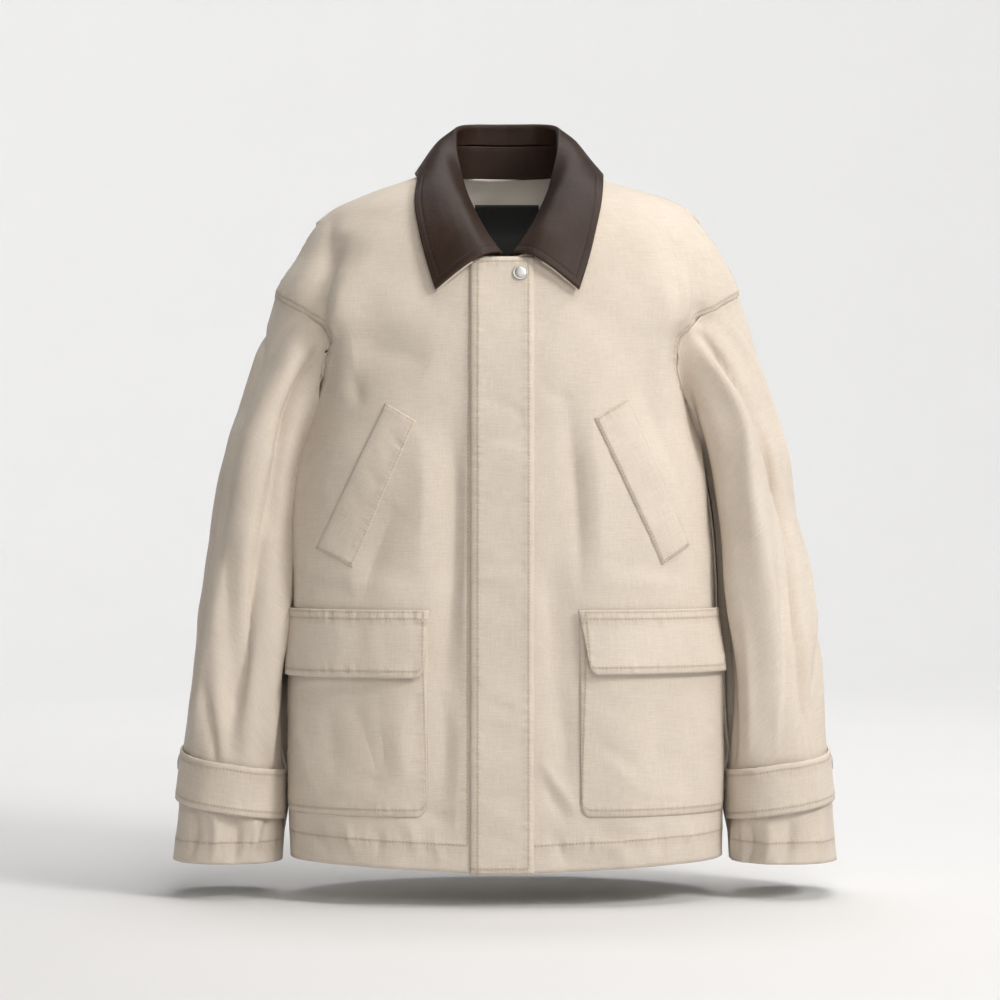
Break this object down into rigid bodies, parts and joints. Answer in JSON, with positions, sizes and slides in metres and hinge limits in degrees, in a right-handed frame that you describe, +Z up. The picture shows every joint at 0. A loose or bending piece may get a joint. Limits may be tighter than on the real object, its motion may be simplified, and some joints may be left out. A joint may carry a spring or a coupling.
{
  "type": "waxed jacket",
  "caption": "Hip-length waxed cotton jacket with a storm fly, leather collar, slanted welts, flapped patch pockets and cuff straps, filled out and hollow.",
  "frame": {"origin": "where the shoulders carry the jacket: at the level of the back neck seam, midway between the sides", "axes": "+Z up, -Y to the front, +X to the wearer's left"},
  "size_m": [0.6587, 0.2747, 0.7411],
  "materials": {
    "cloth": "dry waxed cotton",
    "leather": "smooth, lightly grained",
    "label": "woven, matte",
    "snap": "matte nickel plate"
  },
  "bodies": {
    "root": {"front_right": "cloth", "front_left": "cloth", "placket": "cloth", "back": "cloth", "back_cape": "cloth", "sleeve_right": "cloth", "sleeve_left": "cloth", "welt_right": "cloth", "welt_left": "cloth", "pocket_right": "cloth", "pocket_left": "cloth", "flap_right": "cloth", "flap_left": "cloth", "cuff_strap_right": "cloth", "cuff_strap_left": "cloth", "collar_under": "cloth", "collar_stand": "leather", "collar_leaf": "leather", "neck_label": "label", "snap_neck": "snap", "snap_cuff_right": "snap", "snap_cuff_left": "snap"}
  },
  "joints": []
}
